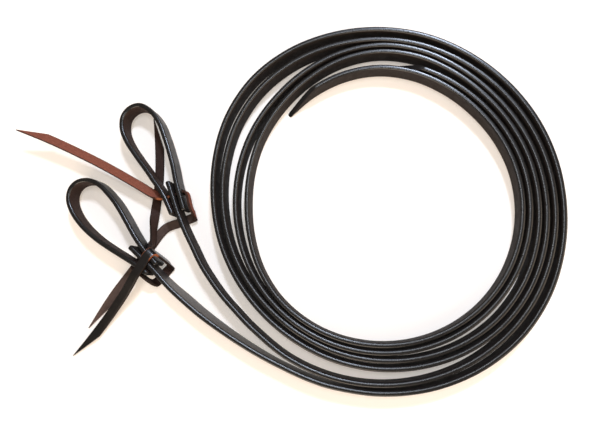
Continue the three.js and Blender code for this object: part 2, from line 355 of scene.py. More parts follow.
class Blank:
    """A straight strip of leather that is worked flat and then laid along a route."""

    def __init__(self, cut: Cut, length: float) -> None:
        """Cuts the strip from the hide with its edges rounded.

        Args:
            cut: The section and the edges.
            length: The strip's length.
        """
        self.cut = cut
        self.length = length
        self.bm = bmesh.new()
        place = Matrix.Translation((length / 2, 0, 0)) @ Matrix.Diagonal((length, cut.width, cut.thick, 1))
        bmesh.ops.create_cube(self.bm, size=1.0, matrix=place)
        self._round_edges()
        self._rule_lines()
        self._divide()

    def _round_edges(self) -> None:
        """Takes every corner off, as an edger and a slicker do."""
        bmesh.ops.bevel(
            self.bm, geom=self.bm.edges[:], offset=self.cut.edge_radius, offset_type="OFFSET",
            segments=self.cut.edge_segments, profile=0.5, affect="EDGES", material=-1, clamp_overlap=True,
        )

    def _everything(self) -> list[bmesh.types.BMVert | bmesh.types.BMEdge | bmesh.types.BMFace]:
        """All of the mesh, as an operator's geometry."""
        return [*self.bm.verts, *self.bm.edges, *self.bm.faces]

    def _rule_lines(self) -> None:
        """Rules lines along both faces, so that they can swell as a hide does."""
        for y in self.cut.ruled:
            for side in (-1, 1):
                bmesh.ops.bisect_plane(
                    self.bm, geom=self._everything(), dist=CUT_MERGE, plane_co=(0, side * y, 0),
                    plane_no=(0, 1, 0),
                )

    def _divide(self) -> None:
        """Divides the strip along its length, finely enough to bend."""
        long_edges = [e for e in self.bm.edges if e.calc_length() > self.length / 2]
        cuts = max(1, round(self.length / self.cut.step) - 1)
        bmesh.ops.subdivide_edges(self.bm, edges=long_edges, cuts=cuts, use_grid_fill=True)

    def punch_slot(self, at: float, length: float, height: float) -> None:
        """Punches a slot through the strip, in the middle of its width.

        Args:
            at: Where its middle is along the strip.
            length: The slot's size along the strip.
            height: The slot's size across it.
        """
        end_and_side = ((Vector((length / 2, 0, 0)), (1, 0, 0)), (Vector((0, height / 2, 0)), (0, 1, 0)))
        for sign in (-1, 1):
            for offset, normal in end_and_side:
                near = [f for f in self.bm.faces if abs(f.calc_center_median().x - at) < PUNCH_REACH * length]
                around = {*near, *(e for f in near for e in f.edges), *(v for f in near for v in f.verts)}
                bmesh.ops.bisect_plane(
                    self.bm, geom=list(around), dist=CUT_MERGE, plane_co=Vector((at, 0, 0)) + sign * offset,
                    plane_no=normal,
                )
        punched = [f for f in self.bm.faces if self._is_in_slot(f, at, length, height)]
        bmesh.ops.delete(self.bm, geom=punched, context="FACES")
        rim = [e for e in self.bm.edges if e.is_boundary]
        bmesh.ops.bridge_loops(self.bm, edges=rim)

    @staticmethod
    def _is_in_slot(face: bmesh.types.BMFace, at: float, length: float, height: float) -> bool:
        """True for a face of either side that the punch takes out."""
        centre = face.calc_center_median()
        return abs(centre.x - at) < length / 2 and abs(centre.y) < height / 2 and abs(face.normal.z) > UPRIGHT

    def slant(self, end: End, side: int, length: float) -> None:
        """Cuts an end on a slant, right across the strip.

        Args:
            end: The end that is cut.
            side: The edge that is cut back, +1 or -1.
            length: How far that edge is cut back.
        """
        outward = 1 if end is End.FINISH else -1
        tip = Vector((self.length if end is End.FINISH else 0, -side * self.cut.width / 2, 0))
        across = Vector((outward * self.cut.width, side * length, 0)).normalized()
        bmesh.ops.bisect_plane(
            self.bm, geom=self._everything(), dist=CUT_MERGE, plane_co=tip, plane_no=across,
            clear_outer=True,
        )
        rim = [e for e in self.bm.edges if e.is_boundary]
        bmesh.ops.holes_fill(self.bm, edges=rim, sides=0)

    def lay(self, route: Route, start: float = 0.0) -> bpy.types.Mesh:
        """Works the relief into the strip and lays it along its route.

        Args:
            route: The route that the middle of the strip follows.
            start: Where along the route the strip begins.

        Returns:
            The mesh, in the frame, with the flat coordinates kept in its LAY attribute.
        """
        flat = self.bm.verts.layers.float_vector.new(LAY)
        places: dict[int, Place] = {}
        for vert in self.bm.verts:
            x, y, z = vert.co
            vert[flat] = (start + x, y, z * self.cut.flesh_side)
            key = round(x / SAME_PLACE)
            if key not in places:
                places[key] = route.place(start + x)
            place = places[key]
            y, z = self._worked(start + x, y, z)
            vert.co = place.centre + place.width * y + place.normal * z
        bmesh.ops.recalc_face_normals(self.bm, faces=self.bm.faces[:])
        mesh = bpy.data.meshes.new("leather")
        self.bm.to_mesh(mesh)
        self.bm.free()
        for polygon in mesh.polygons:
            polygon.use_smooth = True
        mesh.set_sharp_from_angle(angle=SHARP_FOLD)
        return mesh

    def _worked(self, x: float, y: float, z: float) -> tuple[float, float]:
        """Gives the strip its hand-made unevenness: edges that wander and a thickness that varies.

        Args:
            x: Length along the leather.
            y: Place across it.
            z: Place through it.

        Returns:
            The new place across and through the leather.
        """
        cut = self.cut
        wander = noise.noise(Vector((x * LONG_WANDER, LONG_SEED, cut.width * WIDTH_SEED)))
        wander += 0.5 * noise.noise(Vector((x * SHORT_WANDER, SHORT_SEED, 0)))
        swell = noise.noise(Vector((x * SWELL_ALONG, y * SWELL_ACROSS, SWELL_SEED)))
        y += wander * cut.waviness * (2 * y / cut.width)
        z *= 1 + swell * cut.waviness / cut.thick
        return y, z


STRAP_CUT = Cut(
    width=STRAP_WIDTH, thick=STRAP_THICK, edge_radius=1.45 * MM, edge_segments=4, step=3 * MM,
    ruled=(0.0, 3 * MM, 5 * MM), waviness=0.1 * MM,
)
LOOP_CUT = Cut(
    width=STRAP_WIDTH, thick=STRAP_THICK, edge_radius=1.45 * MM, edge_segments=4, step=1.6 * MM,
    ruled=(0.0, 3 * MM, 5 * MM), waviness=0.06 * MM, flesh_side=-1,
)
LACE_CUT = Cut(
    width=LACE_WIDTH, thick=LACE_THICK, edge_radius=0.25 * MM, edge_segments=2, step=0.8 * MM,
    ruled=(0.0, 1.8 * MM), waviness=0.05 * MM,
)


# ---- Finishes ---------------------------------------------------------------------------------------

Socket = bpy.types.NodeSocket
# What a surface is given: a pattern's socket, a number or a colour.
Value = Socket | float | tuple[float, ...]

LEATHER_IOR = 1.5
# The sizes of the dye's clouds, of the patches that handling leaves, and of the grain's wrinkles.
CLOUD_SIZE = 14 * MM
PATCH_SIZE = 6 * MM
WRINKLE_SIZE = 2.5 * MM
# Streaks and fibres run along the leather, so their pattern is drawn out by one over these.
STREAK_STRETCH = 0.12
FIBRE_STRETCH = 0.1
# The values of each noise that its pattern runs between.
CLOUD_SPREAD = (0.42, 0.68)
STREAK_SPREAD = (0.4, 0.7)
PATCH_SPREAD = (0.3, 0.7)
# How deep a pore is beside a wrinkle, and how much of the fibres' relief is left on a slicked edge.
PORE_DEPTH = 0.5
SLICKED_FIBRES = 0.03
# The share of a marked stretch that is marked in full, and of the edge's band that is all edge.
STRETCH_CORE = 0.6
EDGE_CORE = 0.4
# How far from the middle of its thickness leather starts to look like its flesh side, and wholly does.
FLESH_STARTS = 0.2
FLESH_FULL = 0.46


def linear(colour: int) -> tuple[float, float, float, float]:
    """Turns an sRGB hex colour into the linear one that a shader takes.

    Args:
        colour: The colour, such as 0x8C4B37.

    Returns:
        Linear red, green and blue, and an alpha of 1.
    """
    parts = ((colour >> shift & 255) / 255 for shift in (16, 8, 0))
    return (*(c / 12.92 if c <= 0.04045 else ((c + 0.055) / 1.055) ** 2.4 for c in parts), 1.0)


def add_node(
    tree: bpy.types.NodeTree, kind: str, inputs: dict[str | int, object] | None = None, **settings: object,
) -> bpy.types.Node:
    """Adds a node to a material.

    Args:
        tree: The material's node tree.
        kind: The node's type.
        inputs: A value or an output socket for each input, by its name or number.
        **settings: The node's own properties.

    Returns:
        The node.
    """
    node = tree.nodes.new(kind)
    for name, value in settings.items():
        setattr(node, name, value)
    for key, value in (inputs or {}).items():
        if isinstance(value, Socket):
            tree.links.new(value, node.inputs[key])
        else:
            node.inputs[key].default_value = value
    return node


class Mixed(Enum):
    """What a mix node mixes: its data type, the numbers of its two inputs, and that of its output."""

    NUMBER = ("FLOAT", 2, 3, 0)
    COLOUR = ("RGBA", 6, 7, 2)


@dataclass(frozen=True)
class BenchSpace:
    """The sockets that tell a material where a point of the leather lay on the bench.

    The flat socket holds all three coordinates and along is the first of them. The edge and the flesh
    sockets are 1 on the slicked edges and on the flesh side, and 0 elsewhere.
    """

    tree: bpy.types.NodeTree
    flat: Socket
    along: Socket
    edge: Socket
    flesh: Socket

    def within(self, middle: float, reach: float) -> Socket:
        """Marks a stretch of the leather.

        Args:
            middle: Where the middle of the stretch is along the leather.
            reach: How far the stretch reaches to both sides of it.

        Returns:
            A socket that is 1 in the stretch and fades to 0 at its ends.
        """
        away = add_node(self.tree, "ShaderNodeMath", {0: self.along, 1: middle}, operation="SUBTRACT")
        distance = add_node(self.tree, "ShaderNodeMath", {0: away.outputs[0]}, operation="ABSOLUTE")
        return add_node(
            self.tree, "ShaderNodeMapRange",
            {
                "Value": distance.outputs[0], "From Min": reach, "From Max": STRETCH_CORE * reach,
                "To Min": 0.0, "To Max": 1.0,
            },
            interpolation_type="SMOOTHSTEP",
        ).outputs[0]

    def by_surface(self, grain: Value, flesh: Value, edge: Value, mixed: Mixed = Mixed.NUMBER) -> Socket:
        """Gives each kind of surface its own value.

        Args:
            grain: The value on the grain side.
            flesh: The value on the flesh side.
            edge: The value on the slicked edges.
            mixed: Whether the values are numbers or colours.

        Returns:
            The socket.
        """
        kind, first, second, out = mixed.value
        sides = {0: self.flesh, first: grain, second: flesh}
        face = add_node(self.tree, "ShaderNodeMix", sides, data_type=kind).outputs[out]
        rounded = {0: self.edge, first: face, second: edge}
        return add_node(self.tree, "ShaderNodeMix", rounded, data_type=kind).outputs[out]


@dataclass(frozen=True)
class LeatherFinish:
    """A leather: the dye of its three kinds of surface, how glossy they are, and its grain's size.

    A worn colour is the paler one that the dye fades to. Each gloss is the lowest and the highest
    roughness of a surface. The specular levels are those of the grain side, the flesh side and the edges.
    A raw stretch is where a fresh cut shows the leather's undyed middle, and a polished stretch is where
    hands have rubbed the flesh side bright: each is its middle along the leather and its reach.
    """

    name: str
    grain: int
    grain_worn: int
    flesh: int
    flesh_worn: int
    edge: int
    edge_worn: int
    grain_gloss: tuple[float, float]
    flesh_gloss: tuple[float, float]
    edge_gloss: tuple[float, float]
    pore: float
    fibre: float
    width: float
    thick: float
    edge_band: float
    relief: float
    specular: tuple[float, float, float]
    raw: tuple[float, float] | None = None
    raw_edge: int = 0x824A2E
    polished: tuple[float, float] | None = None
    polished_specular: float = 1.0
    polished_roughness: float = 0.42

    def material(self) -> bpy.types.Material:
        """The finish as a material, which is built the first time that a piece needs it."""
        return bpy.data.materials.get(self.name) or self._build()

    def _build(self) -> bpy.types.Material:
        """Builds the material, which reads the flat coordinates of the leather.

        Returns:
            The material.
        """
        made = bpy.data.materials.new(self.name)
        made.use_nodes = True
        tree = made.node_tree
        tree.nodes.clear()
        bench = self._bench_space(tree)
        roughness, specular = self._gloss(bench), bench.by_surface(*self.specular)
        if self.polished:
            roughness, specular = self._polish(bench, roughness, specular)
        bump = add_node(
            tree, "ShaderNodeBump", {"Strength": 1.0, "Distance": self.relief, "Height": self._height(bench)},
        )
        shader = add_node(
            tree, "ShaderNodeBsdfPrincipled",
            {
                "Base Color": self._colour(bench), "Roughness": roughness, "Normal": bump.outputs[0],
                "IOR": LEATHER_IOR, "Specular IOR Level": specular,
            },
        )
        add_node(tree, "ShaderNodeOutputMaterial", {"Surface": shader.outputs[0]})
        return made

    def _bench_space(self, tree: bpy.types.NodeTree) -> BenchSpace:
        """Reads the flat coordinates, and masks the edges and the flesh side by them.

        Args:
            tree: The material's node tree.

        Returns:
            The sockets.
        """
        flat = add_node(tree, "ShaderNodeAttribute", attribute_name=LAY).outputs["Vector"]
        split = add_node(tree, "ShaderNodeSeparateXYZ", {0: flat})
        across = add_node(tree, "ShaderNodeMath", {0: split.outputs["Y"]}, operation="ABSOLUTE")
        edge = add_node(
            tree, "ShaderNodeMapRange",
            {
                "Value": across.outputs[0], "From Min": self.width / 2 - self.edge_band,
                "From Max": self.width / 2 - EDGE_CORE * self.edge_band, "To Min": 0.0, "To Max": 1.0,
            },
            interpolation_type="SMOOTHSTEP",
        )
        flesh = add_node(
            tree, "ShaderNodeMapRange",
            {
                "Value": split.outputs["Z"], "From Min": FLESH_STARTS * self.thick,
                "From Max": FLESH_FULL * self.thick, "To Min": 0.0, "To Max": 1.0,
            },
            interpolation_type="SMOOTHSTEP",
        )
        return BenchSpace(tree, flat, split.outputs["X"], edge.outputs[0], flesh.outputs[0])

    def _colour(self, bench: BenchSpace) -> Socket:
        """Mixes the dye of each surface, clouded as a drum dye is, and paler where it is worn.

        Args:
            bench: The sockets that the material reads.

        Returns:
            The colour socket.
        """
        tree = bench.tree
        clouds = add_node(
            tree, "ShaderNodeTexNoise",
            {"Vector": bench.flat, "Scale": 1 / CLOUD_SIZE, "Detail": 6.0, "Roughness": 0.62},
        )
        stretch = add_node(
            tree, "ShaderNodeMapping", {"Vector": bench.flat, "Scale": (STREAK_STRETCH, 1.0, 1.0)},
            vector_type="POINT",
        )
        fibres = add_node(
            tree, "ShaderNodeTexNoise",
            {"Vector": stretch.outputs[0], "Scale": 1 / self.fibre, "Detail": 4.0, "Roughness": 0.6},
        )
        cloud, streak = (
            add_node(tree, "ShaderNodeMapRange", {"Value": pattern, "From Min": low, "From Max": high})
            for pattern, (low, high) in (
                (clouds.outputs[0], CLOUD_SPREAD), (fibres.outputs[0], STREAK_SPREAD),
            )
        )
        kind, first, second, out = Mixed.COLOUR.value
        dyes = []
        for dyed, worn, mask in (
            (self.grain, self.grain_worn, cloud), (self.flesh, self.flesh_worn, streak),
            (self.edge, self.edge_worn, streak),
        ):
            colours = {0: mask.outputs[0], first: linear(dyed), second: linear(worn)}
            dyes.append(add_node(tree, "ShaderNodeMix", colours, data_type=kind).outputs[out])
        grain, flesh, edge = dyes
        if self.raw:
            colours = {0: bench.within(*self.raw), first: edge, second: linear(self.raw_edge)}
            edge = add_node(tree, "ShaderNodeMix", colours, data_type=kind).outputs[out]
        return bench.by_surface(grain, flesh, edge, Mixed.COLOUR)

    def _gloss(self, bench: BenchSpace) -> Socket:
        """Mixes the roughness of each surface, in soft patches where it has been handled.

        Args:
            bench: The sockets that the material reads.

        Returns:
            The roughness socket.
        """
        patches = add_node(
            bench.tree, "ShaderNodeTexNoise",
            {"Vector": bench.flat, "Scale": 1 / PATCH_SIZE, "Detail": 5.0, "Roughness": 0.6},
        )
        start, full = PATCH_SPREAD
        parts = []
        for low, high in (self.grain_gloss, self.flesh_gloss, self.edge_gloss):
            part = add_node(
                bench.tree, "ShaderNodeMapRange",
                {
                    "Value": patches.outputs[0], "From Min": start, "From Max": full, "To Min": low,
                    "To Max": high,
                },
            )
            parts.append(part.outputs[0])
        return bench.by_surface(*parts)

    def _polish(self, bench: BenchSpace, roughness: Socket, specular: Socket) -> tuple[Socket, Socket]:
        """Rubs the flesh side bright along the polished stretch.

        Args:
            bench: The sockets that the material reads.
            roughness: The roughness without the polish.
            specular: The specular level without the polish.

        Returns:
            The roughness and the specular level with the polish.
        """
        stretch = bench.within(*self.polished)
        rubbed = add_node(bench.tree, "ShaderNodeMath", {0: stretch, 1: bench.flesh}, operation="MULTIPLY")
        kind, first, second, out = Mixed.NUMBER.value
        mixes = []
        for plain, polish in ((roughness, self.polished_roughness), (specular, self.polished_specular)):
            values = {0: rubbed.outputs[0], first: plain, second: polish}
            mixes.append(add_node(bench.tree, "ShaderNodeMix", values, data_type=kind).outputs[out])
        return mixes[0], mixes[1]

    def _height(self, bench: BenchSpace) -> Socket:
        """Raises pores and wrinkles on the grain side, and fibres on the flesh side and the edges.

        Args:
            bench: The sockets that the material reads.

        Returns:
            The height socket, for a bump as deep as the relief.
        """
        tree = bench.tree
        pores = add_node(
            tree, "ShaderNodeTexVoronoi", {"Vector": bench.flat, "Scale": 1 / self.pore, "Randomness": 1.0},
            feature="SMOOTH_F1",
        )
        stretch = add_node(
            tree, "ShaderNodeMapping", {"Vector": bench.flat, "Scale": (FIBRE_STRETCH, 1.0, 1.0)},
            vector_type="POINT",
        )
        fibres = add_node(
            tree, "ShaderNodeTexNoise",
            {"Vector": stretch.outputs[0], "Scale": 1 / self.fibre, "Detail": 6.0, "Roughness": 0.7},
        )
        wrinkles = add_node(
            tree, "ShaderNodeTexNoise", {"Vector": bench.flat, "Scale": 1 / WRINKLE_SIZE, "Detail": 3.0},
        )
        grain = add_node(
            tree, "ShaderNodeMath", {0: pores.outputs["Distance"], 1: PORE_DEPTH, 2: wrinkles.outputs[0]},
            operation="MULTIPLY_ADD",
        )
        slicked = add_node(
            tree, "ShaderNodeMath", {0: fibres.outputs[0], 1: SLICKED_FIBRES}, operation="MULTIPLY",
        )
        return bench.by_surface(grain.outputs[0], fibres.outputs[0], slicked.outputs[0])


# Harness leather: cowhide that is drum-dyed black, stuffed with wax, glazed on the grain side, and slicked
# along its edges. The eye sees a near-black satin face with fine grain, a brown-black matt back with
# short fibres, and a thin bright line along each smooth edge. Its pores are drawn about twice as coarse
# as real ones, so that they show.
HARNESS = LeatherFinish(
    name="black_harness_leather", grain=0x0D0D0E, grain_worn=0x1A1716, flesh=0x1B1716, flesh_worn=0x2A2320,
    edge=0x060607, edge_worn=0x131213, grain_gloss=(0.36, 0.5), flesh_gloss=(0.6, 0.8),
    edge_gloss=(0.25, 0.3), pore=0.8 * MM, fibre=0.5 * MM, width=STRAP_WIDTH, thick=STRAP_THICK,
    edge_band=1.2 * MM, relief=0.12 * MM, specular=(0.22, 0.12, 0.46),
)
# The same leather where hands run along it, so that its back is rubbed to a soft sheen by the tied end.
HARNESS_POLISHED = replace(HARNESS, name="handled_harness_leather", polished=(0.12, 0.11))
# The same leather bent hard into a loop, which opens the fibres of its back and shows them browner.
HARNESS_BROWNED = replace(HARNESS, name="browned_harness_leather", flesh=0x281C19, flesh_worn=0x3C2D27)
# Latigo: cowhide tanned with alum and then with bark, full of oil and wax, and cut into lace. The eye
# sees a waxy brown grain side, a soft red-brown back that hardly shines, and dull cut edges that are
# orange-brown where a fresh cut shows the middle.
LATIGO_BROWN = LeatherFinish(
    name="brown_latigo_leather", grain=0x40322C, grain_worn=0x54433B, flesh=0x693D31, flesh_worn=0x875242,
    edge=0x2A1812, edge_worn=0x3C2418, grain_gloss=(0.45, 0.6), flesh_gloss=(0.8, 0.95),
    edge_gloss=(0.6, 0.8), pore=0.5 * MM, fibre=0.35 * MM, width=LACE_WIDTH, thick=LACE_THICK,
    edge_band=0.5 * MM, relief=0.06 * MM, specular=(0.2, 0.05, 0.15), raw=(0.148, 0.009),
)
# Latigo dyed black and glazed on the grain side, which gives it a clearer shine than the brown lace has.
# Its back stays dark brown, and its fresh cut shows the same orange-brown.
LATIGO_BLACK = LeatherFinish(
    name="black_latigo_leather", grain=0x070607, grain_worn=0x100D0D, flesh=0x2E211D, flesh_worn=0x3E2E28,
    edge=0x17100C, edge_worn=0x2A1A12, grain_gloss=(0.26, 0.36), flesh_gloss=(0.7, 0.85),
    edge_gloss=(0.6, 0.8), pore=0.5 * MM, fibre=0.35 * MM, width=LACE_WIDTH, thick=LACE_THICK,
    edge_band=0.5 * MM, relief=0.05 * MM, specular=(0.42, 0.1, 0.15), raw=(0.114, 0.008),
)


# ---- Tied ends --------------------------------------------------------------------------------------


@dataclass(frozen=True)
class Knot:
    """A tied end: where its slot is in plan, and the angle from it towards the loop."""

    slot: tuple[float, float]
    angle: float

    @property
    def along(self) -> Vector:
        """The direction along the tied end, towards the loop."""
        return Vector((math.cos(math.radians(self.angle)), math.sin(math.radians(self.angle)), 0))

    @property
    def across(self) -> Vector:
        """The direction across the tied end, to the right of that."""
        return self.along.cross(UP)

    def point(self, along: float, across: float, z: float) -> Vector:
        """A point that lies that far along and across from the slot, at height z."""
        return Vector((*self.slot, z)) + self.along * along + self.across * across

    def tied(self, face: Vector, *places: tuple[float, float, float]) -> list[Station]:
        """Stations of a lace at this tied end.

        Args:
            face: The way that the flesh side looks.
            *places: Along, across and height of each station.

        Returns:
            The stations.
        """
        return [Station(self.point(*p), face=face) for p in places]


KNOT_A = Knot(slot=(-0.0813, 0.0085), angle=110.5)
KNOT_B = Knot(slot=(-0.1062, -0.0415), angle=137.8)


def lying(face: Vector, *places: tuple[float, ...]) -> list[Station]:
    """Stations of a lace away from the ties, on the floor where they give no height.

    Args:
        face: The way that the flesh side looks.
        *places: x and y, or x, y and z, of each station.

    Returns:
        The stations.
    """
    return [Station(Vector((*p, LACE_FLOOR) if len(p) == 2 else p), face=face) for p in places]


# ---- Reins ------------------------------------------------------------------------------------------


@dataclass(frozen=True)
class Coil:
    """A coil: its radius at each eighth of a turn, from its start angle to its end angle, in degrees."""

    start: float
    end: float
    radii: tuple[float, ...]

    def radius(self, angle: float) -> float:
        """Finds the coil's radius at an angle, on a smooth curve through the eighths of a turn.

        Args:
            angle: The angle, in degrees.

        Returns:
            The radius.
        """
        place = (angle - self.start) / KEY_STEP
        last = len(self.radii) - 1
        i = min(int(place), last - 1)
        t = place - i
        before, a, b, after = (self.radii[min(max(i + k, 0), last)] for k in (-1, 0, 1, 2))
        bend = (2 * before - 5 * a + 4 * b - after) * t * t
        twist = (3 * a - before - 3 * b + after) * t * t * t
        return a + ((b - before) * t + bend + twist) / 2

    def stations(self) -> list[Station]:
        """Places the stations round the coil.

        Returns:
            The stations, from the lead to the free end.
        """
        count = round((self.end - self.start) / COIL_STEP)
        made = []
        for i in range(count + 1):
            degrees = self.start + (self.end - self.start) * i / count
            radius, angle = self.radius(degrees), math.radians(degrees)
            x = COIL_CENTRE[0] + radius * math.cos(angle)
            y = COIL_CENTRE[1] + radius * math.sin(angle)
            made.append(Station(Vector((x, y, STRAP_WIDTH / 2))))
        return made


@dataclass
class Rein:
    """One long rein strap: slotted at its tied end, coiled, and cut on a slant at its free end."""

    name: str
    lead: tuple[tuple[float, ...], ...]
    coil: Coil
    finish: LeatherFinish
    cut: Cut = STRAP_CUT
    slot_station: int = 1
    slant_side: int = 1

    def route(self) -> StrapRoute:
        """The route from the tied end, along the lead and round the coil."""
        stations = [self._lead_station(*place) for place in self.lead]
        return StrapRoute([*stations, *self.coil.stations()])

    @staticmethod
    def _lead_station(x: float, y: float, lift: float = 0.0, lean: float = 0.0) -> Station:
        """A station of the lead, that far off the floor and leaning by that many degrees."""
        return Station(Vector((x, y, lift + STRAP_WIDTH / 2)), lean=lean)

    def build(self) -> None:
        route = self.route()
        blank = Blank(self.cut, route.length)
        blank.punch_slot(route.length_to(self.slot_station), SLOT_LENGTH, SLOT_HEIGHT)
        blank.slant(End.FINISH, self.slant_side, END_CUT)
        piece = add_piece(f"{self.name}_leather", blank.lay(route), self.finish.material())
        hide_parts(self.name)
        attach(piece, "coiled_reins")
        line = route.line(0, route.length, STRAP_LINE_STEP)
        log.info("%s: %.3f m of strap, %d faces", piece.name, route.length, len(piece.data.polygons))


# Rein A is the inner rein of the coil, and rein B is the outer one.
COIL_A = Coil(
    start=225,
    end=1214,
    radii=(
        0.138, 0.137, 0.1345, 0.1295, 0.1285, 0.133, 0.1345, 0.1235,
        0.118, 0.1195, 0.122, 0.118, 0.117, 0.1225, 0.1115, 0.1035,
        0.1075, 0.1085, 0.1085, 0.1065, 0.105, 0.109, 0.1046,
    ),
)
COIL_B = Coil(
    start=270,
    end=1166,
    radii=(
        0.143, 0.142, 0.1355, 0.1355, 0.1415, 0.145, 0.131, 0.124,
        0.1255, 0.128, 0.1235, 0.122, 0.128, 0.119, 0.113, 0.113,
        0.114, 0.114, 0.112, 0.1105, 0.114,
    ),
)
# The leads, from the tied end to the coil: x and y of each station, how far it is off the floor, and the
# degrees that the strap leans.
LEAD_A = (
    (-0.0854, 0.0195, KNOT_LIFT),
    (-0.0813, 0.0085, KNOT_LIFT),
    (-0.0758, -0.0065, KNOT_LIFT),
    (-0.0706, -0.0182, KNOT_LIFT),
    (-0.062, -0.035, 0.0018),
    (-0.055, -0.0485, 0.001),
    (-0.0465, -0.061, 0.0004),
    (-0.037, -0.073, 0.0001),
    (-0.026, -0.0845),
)
LEAD_B = (
    (-0.1149, -0.0337, KNOT_LIFT),
    (-0.1062, -0.0415, KNOT_LIFT),
    (-0.0934, -0.0532, KNOT_LIFT),
    (-0.0863, -0.06, KNOT_LIFT, 3),
    (-0.0793, -0.0666, 0.0021, 6),
    (-0.0708, -0.0736, 0.0015, 9),
    (-0.0545, -0.0866, 0.0008, 9),
    (-0.0377, -0.0982, 0.0004, 7),
    (-0.0217, -0.1082, 0.0002, 4),
    (-0.0059, -0.117, 0.0001, 2),
    (0.0098, -0.1246),
    (0.0285, -0.1324),
    (0.0475, -0.138),
)


# ---- Water loops ------------------------------------------------------------------------------------


@dataclass
class WaterLoop:
    """A short strap bent back on itself, with a slot near each end for the lace."""

    name: str
    body: str
    outline: tuple[tuple[float, float], ...]
    slot_stations: tuple[int, int]
    finish: LeatherFinish
    cut: Cut = LOOP_CUT

    def build(self) -> None:
        """Cuts, punches, bends and dresses the loop."""
        route = StrapRoute([Station(Vector((x, y, KNOT_LIFT + STRAP_WIDTH / 2))) for x, y in self.outline])
        blank = Blank(self.cut, route.length)
        for station in self.slot_stations:
            blank.punch_slot(route.length_to(station), SLOT_LENGTH, SLOT_HEIGHT)
        piece = add_piece(f"{self.name}_leather", blank.lay(route), self.finish.material())
        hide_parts(self.name)
        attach(piece, self.body)
        log.info("%s: %.3f m of strap, %d faces", piece.name, route.length, len(piece.data.polygons))


# The loops, from end to end: x and y of each station, and the two stations that are slotted.
LOOP_A = (
    (-0.0803, -0.0082), (-0.0838, -0.001), (-0.0875, 0.0062), (-0.0919, 0.0131), (-0.0972, 0.02),
    (-0.1032, 0.0282), (-0.114, 0.042), (-0.1228, 0.0546), (-0.1273, 0.0654), (-0.1268, 0.0762),
    (-0.121, 0.083), (-0.113, 0.085), (-0.1043, 0.0808), (-0.096, 0.071), (-0.0902, 0.058),
    (-0.0855, 0.0452), (-0.0815, 0.0325), (-0.0785, 0.02), (-0.0756, 0.0106), (-0.0731, 0.003),
    (-0.0706, -0.0046),
)
LOOP_A_SLOTS = (2, 18)
LOOP_B = (
    (-0.0986, -0.0558), (-0.1045, -0.0515), (-0.1112, -0.0471), (-0.1215, -0.0412), (-0.1326, -0.0348),
    (-0.1459, -0.0262), (-0.158, -0.0158), (-0.1668, -0.0046), (-0.1708, 0.0058), (-0.1696, 0.0144),
    (-0.1646, 0.0198), (-0.1574, 0.0216), (-0.1498, 0.0204), (-0.1432, 0.0166), (-0.1374, 0.0112),
    (-0.131, 0.0042), (-0.1249, -0.0041), (-0.1184, -0.0142), (-0.1118, -0.0246), (-0.1072, -0.031),
    (-0.1023, -0.0371), (-0.0967, -0.0429), (-0.0914, -0.0482),
)
LOOP_B_SLOTS = (2, 20)


# ---- Tie laces --------------------------------------------------------------------------------------


# The way that the raised tail of lace A shows its flesh side.
TAIL_A_FLESH = Vector((0.17, 0.33, 0.93))
# Where each tail starts and ends its bend, from the knot outwards.
TAIL_A_BEND = (Vector((-0.1015, 0.0112, 0.011)), Vector((-0.1105, 0.0165, 0.0113)))
TAIL_B_BEND = (Vector((-0.1005, -0.0451, CREST_Z)), Vector((-0.1055, -0.0529, CREST_Z)))
# The station of lace B in the middle of its run under the rein, where its two pieces meet out of sight.
LACE_B_UNDER = 19


def lace_a_stations() -> list[Station]:
    """Places lace A from the tip of its raised tail, through the slots, under the rein to its floor tip.

    Returns:
        The stations.
    """
    k = KNOT_A
    tail = lying(
        TAIL_A_FLESH,
        (-0.221, 0.0694, 0.018), (-0.1923, 0.0578, 0.0164), (-0.1649, 0.0453, 0.0148),
        (-0.1469, 0.0365, 0.0136), (-0.129, 0.0269, 0.0124), (-0.1114, 0.017, 0.0113),
        (-0.1054, 0.0134, 0.011),
    )
    return [
        *tail,
        *lying(Vector((0, 0.5, 0.86)), (-0.0998, 0.0102, 0.0109)),
        *lying(Vector((-0.2, 0.9, 0.4)), (-0.0946, 0.0073, 0.0107)),
        *k.tied(
            k.along, (0.0004, -0.0096, SLOT_Z), (0, -0.006, SLOT_Z), (0, 0, SLOT_Z), (0, 0.006, SLOT_Z),
            (0, 0.0085, SLOT_Z),
        ),
        *k.tied(k.along + k.across, (-0.0007, 0.0101, SLOT_Z)),
        *k.tied(
            k.across, (-0.0026, 0.0107, SLOT_Z), (-0.0065, 0.0105, SLOT_Z), (-0.011, 0.01, 0.0104),
            (-0.0152, 0.0097, 0.0096), (-0.0186, 0.0096, 0.0074), (-0.0204, 0.0093, 0.0044),
        ),
        *k.tied(k.across + DOWN, (-0.0207, 0.0083, 0.002)),
        *k.tied(DOWN, (-0.0207, 0.0058, LACE_FLOOR), (-0.0207, 0, LACE_FLOOR), (-0.0207, -0.006, LACE_FLOOR)),
        *lying(
            DOWN, (-0.0858, -0.0149), (-0.0914, -0.0174), (-0.0962, -0.0222), (-0.1012, -0.0292),
            (-0.1103, -0.0418), (-0.1224, -0.0578), (-0.1326, -0.0716), (-0.141, -0.0846), (-0.1514, -0.1024),
        ),
    ]


